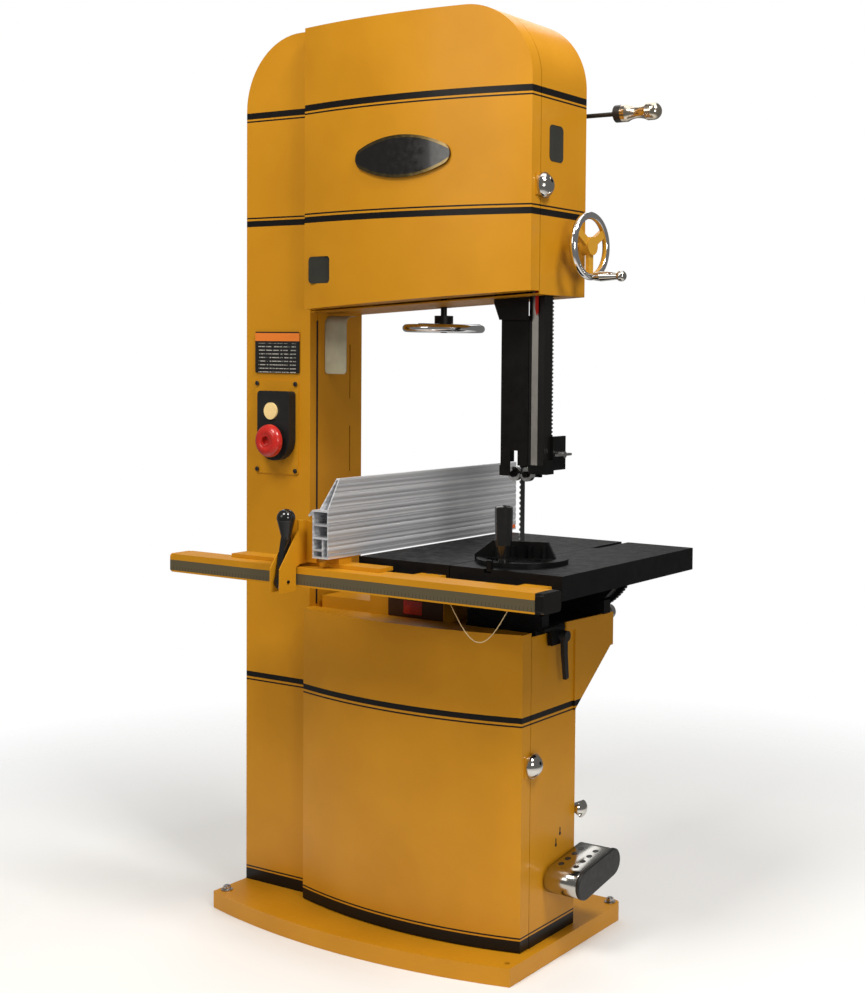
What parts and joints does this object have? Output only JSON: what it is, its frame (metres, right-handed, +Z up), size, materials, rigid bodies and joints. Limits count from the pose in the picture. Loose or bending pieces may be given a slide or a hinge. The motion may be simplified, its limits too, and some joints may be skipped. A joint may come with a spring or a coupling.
{
  "type": "band saw",
  "caption": "Floor-standing vertical band saw with a steel column, two covered wheels, tilting table, rip fence, mitre gauge, blade guides, foot brake and a joint for each moving piece.",
  "frame": {"origin": "centre of the base plate's underside, on the floor", "axes": "+X to the right seen from the door side, +Y to the back, +Z up"},
  "size_m": [1.157, 0.854, 2.288],
  "materials": {
    "gold_paint": "satin",
    "black_paint": "satin",
    "black_iron": "satin",
    "grey_iron": "matt",
    "steel": "brushed",
    "chrome": "polished",
    "aluminium": "ribbed",
    "rubber": "matt",
    "black_plastic": "satin",
    "gloss_black": "gloss",
    "smoke_glass": "tinted",
    "strap": "satin",
    "red_plastic": "gloss",
    "cream_plastic": "gloss",
    "wire": "satin"
  },
  "bodies": {
    "frame": {"base_plate": "gold_paint", "column": "gold_paint", "upper_housing": "gold_paint", "lower_housing": "gold_paint", "trunnion_base": "black_iron", "frame_fasteners": "steel", "switch_box": "black_plastic", "throat_flap": "strap", "side_window": "smoke_glass", "door_hinges": "steel", "dust_ports": "black_paint", "motor": "black_paint", "drive_belt": "rubber", "shaft_housing": "black_iron", "saw_blade": "steel", "post_bracket": "black_paint", "lower_guide": "black_iron"},
    "upper_door": {"upper_door": "gold_paint", "door_badge": "gloss_black", "door_window": "smoke_glass"},
    "upper_latch": {"upper_latch": "chrome"},
    "lower_door": {"lower_door": "gold_paint"},
    "lower_latch": {"lower_latch": "chrome"},
    "release_yoke": {"release_yoke": "steel"},
    "tension_slide": {"tension_slide": "grey_iron"},
    "tension_wheel": {"tension_wheel": "chrome"},
    "release_lever": {"release_lever": "chrome"},
    "upper_wheel": {"upper_wheel": "grey_iron", "upper_tyre": "rubber"},
    "lower_wheel": {"lower_wheel": "grey_iron", "lower_tyre": "rubber", "lower_shaft": "steel"},
    "motor_pulley": {"motor_pulley": "steel"},
    "guide_post": {"guide_post": "steel", "blade_guard": "black_paint", "guide_bracket": "black_iron"},
    "guide_knob": {"guide_knob": "steel"},
    "left_bearing": {"left_bearing": "steel"},
    "right_bearing": {"right_bearing": "steel"},
    "thrust_bearing": {"thrust_bearing": "steel"},
    "elevation_wheel": {"elevation_wheel": "chrome"},
    "crank_grip": {"crank_grip": "chrome"},
    "table": {"table": "black_iron", "table_insert": "aluminium", "table_trunnions": "black_iron", "fence_rail": "gold_paint", "pin_tether": "wire"},
    "tilt_pinion": {"tilt_pinion": "steel"},
    "lock_lever": {"lock_lever": "black_plastic"},
    "fence": {"fence": "aluminium", "fence_head": "gold_paint"},
    "cam_lever": {"cam_lever": "gloss_black"},
    "mitre_bar": {"mitre_bar": "steel"},
    "mitre_head": {"mitre_head": "black_iron"},
    "mitre_handle": {"mitre_handle": "gloss_black"},
    "brake": {"brake_pedal": "chrome", "brake_arm": "steel"},
    "rear_knob": {"rear_knob": "chrome"},
    "start_button": {"start_button": "cream_plastic"},
    "stop_button": {"stop_button": "red_plastic"}
  },
  "joints": [
    {"name": "upper_door_hinge", "type": "hinge", "parent": "frame", "child": "upper_door", "pos_m": [-0.232, -0.151, 1.9], "axis": [0, 0, 1], "range_deg": [-90, 0]},
    {"name": "lower_door_hinge", "type": "hinge", "parent": "frame", "child": "lower_door", "pos_m": [-0.232, -0.151, 0.45], "axis": [0, 0, 1], "range_deg": [-90, 0]},
    {"name": "upper_latch_turn", "type": "hinge", "parent": "upper_door", "child": "upper_latch", "pos_m": [0.458, -0.128, 1.866], "axis": [1, 0, 0], "range_deg": [-90, 90]},
    {"name": "lower_latch_turn", "type": "hinge", "parent": "lower_door", "child": "lower_latch", "pos_m": [0.446, -0.133, 0.489], "axis": [1, 0, 0], "range_deg": [-90, 90]},
    {"name": "release_lever_swing", "type": "hinge", "parent": "frame", "child": "release_lever", "pos_m": [0.045, 0.086, 2.057], "axis": [0, 1, 0], "range_deg": [-90, 0]},
    {"name": "release_yoke_slide", "type": "slide", "parent": "frame", "child": "release_yoke", "axis": [0, 0, 1], "range_m": [-0.0057, 0]},
    {"name": "tension_wheel_turn", "type": "hinge", "parent": "release_yoke", "child": "tension_wheel", "pos_m": [0.045, 0.038, 1.533], "axis": [0, 0, 1], "range_deg": [-1800, 0]},
    {"name": "tension_slide", "type": "slide", "parent": "release_yoke", "child": "tension_slide", "axis": [0, 0, 1], "range_m": [-0.0151, 0]},
    {"name": "upper_wheel_spin", "type": "hinge", "parent": "tension_slide", "child": "upper_wheel", "pos_m": [0.045, -0.044, 1.95], "axis": [0, 1, 0], "continuous": true},
    {"name": "lower_wheel_spin", "type": "hinge", "parent": "frame", "child": "lower_wheel", "pos_m": [0.045, -0.044, 0.47], "axis": [0, 1, 0], "continuous": true},
    {"name": "motor_pulley_spin", "type": "hinge", "parent": "frame", "child": "motor_pulley", "pos_m": [-0.12, 0, 0.3], "axis": [0, 1, 0], "continuous": true},
    {"name": "guide_post_slide", "type": "slide", "parent": "frame", "child": "guide_post", "axis": [0, 0, 1], "range_m": [-0.15, 0.215]},
    {"name": "elevation_wheel_turn", "type": "hinge", "parent": "frame", "child": "elevation_wheel", "pos_m": [0.514, -0.004, 1.731], "axis": [1, 0, 0], "range_deg": [-342.5, 239]},
    {"name": "crank_grip_spin", "type": "hinge", "parent": "elevation_wheel", "child": "crank_grip", "pos_m": [0.545, -0.004, 1.658], "axis": [1, 0, 0], "continuous": true},
    {"name": "guide_knob_turn", "type": "hinge", "parent": "guide_post", "child": "guide_knob", "pos_m": [0.445, -0.024, 1.228], "axis": [1, 0, 0], "continuous": true},
    {"name": "left_bearing_spin", "type": "hinge", "parent": "guide_post", "child": "left_bearing", "pos_m": [0.3321, -0.047, 1.177], "axis": [0, 1, 0], "continuous": true},
    {"name": "right_bearing_spin", "type": "hinge", "parent": "guide_post", "child": "right_bearing", "pos_m": [0.3688, -0.047, 1.177], "axis": [0, 1, 0], "continuous": true},
    {"name": "thrust_bearing_spin", "type": "hinge", "parent": "guide_post", "child": "thrust_bearing", "pos_m": [0.3505, -0.0196, 1.191], "axis": [1, 0, 0], "continuous": true},
    {"name": "table_tilt", "type": "hinge", "parent": "frame", "child": "table", "pos_m": [0.35, 0, 0.985], "axis": [0, 1, 0], "range_deg": [-5, 45]},
    {"name": "tilt_pinion_turn", "type": "hinge", "parent": "frame", "child": "tilt_pinion", "pos_m": [0.41704, 0.22, 0.80082], "axis": [0, 1, 0], "range_deg": [-671, 75]},
    {"name": "lock_lever_swing", "type": "hinge", "parent": "frame", "child": "lock_lever", "pos_m": [0.47, -0.04, 0.79], "axis": [1, 0, 0], "range_deg": [-40, 40]},
    {"name": "fence_slide", "type": "slide", "parent": "table", "child": "fence", "axis": [-1, 0, 0], "range_m": [-0.225, 0.15]},
    {"name": "cam_lever_swing", "type": "hinge", "parent": "fence", "child": "cam_lever", "pos_m": [-0.028, -0.474, 0.932], "axis": [1, 0, 0], "range_deg": [0, 50]},
    {"name": "mitre_slide", "type": "slide", "parent": "table", "child": "mitre_bar", "axis": [0, 1, 0], "range_m": [-0.14, 0.1]},
    {"name": "mitre_head_turn", "type": "hinge", "parent": "mitre_bar", "child": "mitre_head", "pos_m": [0.457, -0.193, 0.99], "axis": [0, 0, 1], "range_deg": [-60, 42]},
    {"name": "mitre_handle_turn", "type": "hinge", "parent": "mitre_bar", "child": "mitre_handle", "pos_m": [0.457, -0.272, 1.05], "axis": [0, 0, 1], "range_deg": [-180, 0]},
    {"name": "brake_pedal_swing", "type": "hinge", "parent": "frame", "child": "brake", "pos_m": [0.45, 0.03, 0.2], "axis": [1, 0, 0], "range_deg": [0, 9.5], "stiffness_Nm_per_rad": 40, "springref_deg": -8.59},
    {"name": "rear_knob_turn", "type": "hinge", "parent": "frame", "child": "rear_knob", "pos_m": [0.44, 0.079, 0.332], "axis": [1, 0, 0], "range_deg": [-180, 180]},
    {"name": "start_button_press", "type": "slide", "parent": "frame", "child": "start_button", "axis": [0, 1, 0], "range_m": [0, 0.004], "stiffness_N_per_m": 600, "springref_m": -0.001},
    {"name": "stop_button_press", "type": "slide", "parent": "frame", "child": "stop_button", "axis": [0, 1, 0], "range_m": [0, 0.005], "stiffness_N_per_m": 1200, "springref_m": -0.001}
  ],
  "couplings": [
    {"joint": "upper_wheel_spin", "follows": "lower_wheel_spin", "ratio": 1},
    {"joint": "motor_pulley_spin", "follows": "lower_wheel_spin", "ratio": 3.3333},
    {"joint": "elevation_wheel_turn", "follows": "guide_post_slide", "rad_per_m": -27.778},
    {"joint": "tension_slide", "follows": "tension_wheel_turn", "m_per_rad": 0.00047746},
    {"joint": "release_yoke_slide", "follows": "release_lever_swing", "m_per_rad": 0.0036},
    {"joint": "tilt_pinion_turn", "follows": "table_tilt", "ratio": -14.878}
  ]
}
